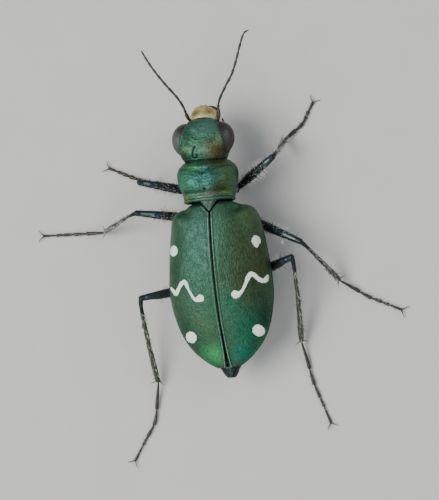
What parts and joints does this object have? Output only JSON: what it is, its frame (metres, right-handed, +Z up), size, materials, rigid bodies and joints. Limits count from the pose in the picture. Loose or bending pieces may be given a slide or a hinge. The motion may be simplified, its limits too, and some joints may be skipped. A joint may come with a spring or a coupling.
{
  "type": "tiger beetle",
  "caption": "life-size still model of a green tiger beetle in a standing pose, with raised antennae, large eyes and ivory-marked wing cases",
  "frame": {"origin": "middle of the footprint on the floor, at the bottom centre of the bounding box", "axes": "+Z up, the head points along -Y and the tail along +Y, +X is the beetle's left side"},
  "size_m": [0.0198, 0.0214, 0.007],
  "materials": {
    "elytron": "satin green wing-case cuticle with a fine shagreen, small dark pits and ivory spots and bands",
    "armour": "metallic green to teal cuticle of the head, prothorax and scutellum with coppery edges",
    "underside": "dark blue-green polished cuticle of the thorax and abdomen",
    "eye": "dark grey-brown compound eye with a soft gloss",
    "labrum": "ivory-yellow upper lip with brownish patches",
    "mouth": "dark brown horn of the mandibles and palps",
    "antenna": "thin dark feelers, coppery towards the root",
    "leg": "black-green metallic leg cuticle with pale bristles",
    "foot": "dark bronze foot joints and claws"
  },
  "bodies": {
    "root": {"elytron_left": "elytron", "elytron_right": "elytron", "head": "armour", "prothorax": "armour", "scutellum": "armour", "thorax": "underside", "abdomen": "underside", "eye_left": "eye", "mandible_left": "mouth", "maxillary_palp_left": "mouth", "labial_palp_left": "mouth", "antenna_left": "antenna", "eye_right": "eye", "mandible_right": "mouth", "maxillary_palp_right": "mouth", "labial_palp_right": "mouth", "antenna_right": "antenna", "labrum": "labrum", "coxa_front_left": "leg", "femur_front_left": "leg", "tibia_front_left": "leg", "tarsus_front_left": "foot", "coxa_front_right": "leg", "femur_front_right": "leg", "tibia_front_right": "leg", "tarsus_front_right": "foot", "coxa_middle_left": "leg", "femur_middle_left": "leg", "tibia_middle_left": "leg", "tarsus_middle_left": "foot", "coxa_middle_right": "leg", "femur_middle_right": "leg", "tibia_middle_right": "leg", "tarsus_middle_right": "foot", "coxa_hind_left": "leg", "femur_hind_left": "leg", "tibia_hind_left": "leg", "tarsus_hind_left": "foot", "coxa_hind_right": "leg", "femur_hind_right": "leg", "tibia_hind_right": "leg", "tarsus_hind_right": "foot"}
  },
  "joints": []
}
